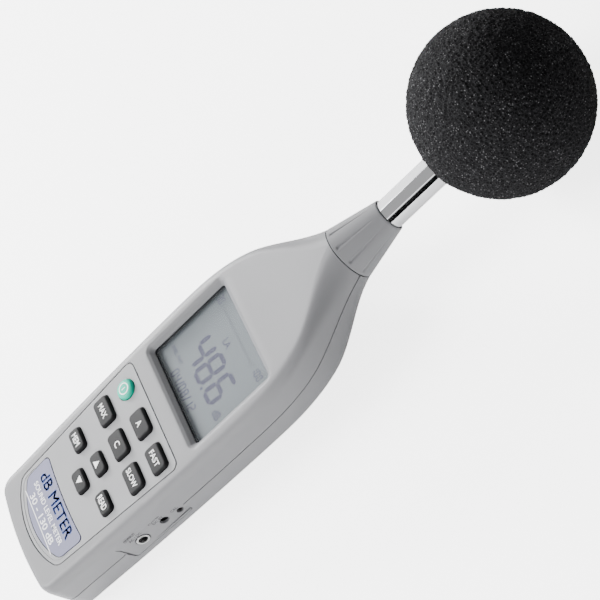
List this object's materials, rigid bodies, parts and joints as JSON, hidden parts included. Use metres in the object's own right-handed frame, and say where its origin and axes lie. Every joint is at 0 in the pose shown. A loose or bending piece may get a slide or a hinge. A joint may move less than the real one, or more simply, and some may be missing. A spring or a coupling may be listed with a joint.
{
  "type": "handheld sound level meter",
  "caption": "Handheld sound level meter: light grey two-part case with display and keypad, microphone on a chrome tube, black foam ball windscreen.",
  "frame": {"origin": "on the flat of the back, on the centre line, between the battery cover and the tripod bush", "axes": "+X right, +Y along the meter towards the microphone, +Z out of the front face (the meter lies on its back)"},
  "size_m": [0.0708, 0.3055, 0.07],
  "materials": {
    "case_plastic": "light grey moulded ABS, fine satin texture",
    "panel": "slightly lighter grey overlay, satin",
    "label": "silver foil plate, satin",
    "key_dark": "dark grey silicone keycap, matte, white legend",
    "key_green": "teal green keycap, matte, white legend",
    "chrome": "polished chrome plate",
    "steel": "nickel-plated steel",
    "brass": "turned brass",
    "foam": "black open-cell polyurethane foam",
    "clear": "clear acrylic lens",
    "display": "grey-blue liquid crystal display",
    "black_plastic": "black moulded plastic",
    "rubber": "dark silicone rubber",
    "board": "green circuit board",
    "cell_jacket": "plain blue cell jacket"
  },
  "bodies": {
    "meter": {"front_case": "case_plastic", "rear_case": "case_plastic", "neck_cone": "case_plastic", "battery_holder": "case_plastic", "keypad_panel": "panel", "label_plate": "label", "mic_tube": "chrome", "mic_capsule": "chrome", "mic_grid": "chrome", "jack_ring": "steel", "clock_crystal": "steel", "battery_spring_1": "steel", "battery_spring_2": "steel", "battery_spring_3": "steel", "battery_spring_4": "steel", "contact_tail_left": "steel", "contact_tail_right": "steel", "contact_head_left": "steel", "contact_head_middle": "steel", "contact_head_right": "steel", "case_screw_1": "steel", "case_screw_2": "steel", "case_screw_3": "steel", "case_screw_4": "steel", "tripod_bush": "brass", "tube_nut": "brass", "window_lens": "clear", "lcd_glass": "display", "lcd_holder": "black_plastic", "jack_socket": "black_plastic", "power_socket": "black_plastic", "trimmer_body": "black_plastic", "mic_insulator": "black_plastic", "controller_chip": "black_plastic", "level_chip": "black_plastic", "lens_gasket": "rubber", "lcd_connector": "rubber", "key_mat": "rubber", "mic_lead": "rubber", "main_board": "board", "preamp_board": "board", "battery_1": "cell_jacket", "battery_2": "cell_jacket", "battery_3": "cell_jacket", "battery_4": "cell_jacket"},
    "key_power": {"key_power": "key_green"},
    "key_a": {"key_a": "key_dark"},
    "key_fast": {"key_fast": "key_dark"},
    "key_max": {"key_max": "key_dark"},
    "key_c": {"key_c": "key_dark"},
    "key_slow": {"key_slow": "key_dark"},
    "key_up": {"key_up": "key_dark"},
    "key_mem": {"key_mem": "key_dark"},
    "key_read": {"key_read": "key_dark"},
    "key_down": {"key_down": "key_dark"},
    "windscreen": {"windscreen": "foam"},
    "battery_cover": {"battery_cover": "case_plastic"},
    "trimmer": {"trimmer_rotor": "brass"}
  },
  "joints": [
    {"name": "press_power", "type": "slide", "parent": "meter", "child": "key_power", "axis": [0, 0, -1], "range_m": [0, 0.0008], "stiffness_N_per_m": 1200},
    {"name": "press_a", "type": "slide", "parent": "meter", "child": "key_a", "axis": [0, 0, -1], "range_m": [0, 0.0008], "stiffness_N_per_m": 1200},
    {"name": "press_fast", "type": "slide", "parent": "meter", "child": "key_fast", "axis": [0, 0, -1], "range_m": [0, 0.0008], "stiffness_N_per_m": 1200},
    {"name": "press_max", "type": "slide", "parent": "meter", "child": "key_max", "axis": [0, 0, -1], "range_m": [0, 0.0008], "stiffness_N_per_m": 1200},
    {"name": "press_c", "type": "slide", "parent": "meter", "child": "key_c", "axis": [0, 0, -1], "range_m": [0, 0.0008], "stiffness_N_per_m": 1200},
    {"name": "press_slow", "type": "slide", "parent": "meter", "child": "key_slow", "axis": [0, 0, -1], "range_m": [0, 0.0008], "stiffness_N_per_m": 1200},
    {"name": "press_up", "type": "slide", "parent": "meter", "child": "key_up", "axis": [0, 0, -1], "range_m": [0, 0.0008], "stiffness_N_per_m": 1200},
    {"name": "press_mem", "type": "slide", "parent": "meter", "child": "key_mem", "axis": [0, 0, -1], "range_m": [0, 0.0008], "stiffness_N_per_m": 1200},
    {"name": "press_read", "type": "slide", "parent": "meter", "child": "key_read", "axis": [0, 0, -1], "range_m": [0, 0.0008], "stiffness_N_per_m": 1200},
    {"name": "press_down", "type": "slide", "parent": "meter", "child": "key_down", "axis": [0, 0, -1], "range_m": [0, 0.0008], "stiffness_N_per_m": 1200},
    {"name": "windscreen_pull", "type": "slide", "parent": "meter", "child": "windscreen", "axis": [0, 1, 0], "range_m": [0, 0.045]},
    {"name": "cover_slide", "type": "slide", "parent": "meter", "child": "battery_cover", "axis": [0, -1, 0], "range_m": [0, 0.065]},
    {"name": "trimmer_turn", "type": "hinge", "parent": "meter", "child": "trimmer", "pos_m": [0.0284, -0.0318, 0.0118], "axis": [1, 0, 0], "range_deg": [-135, 135]}
  ]
}
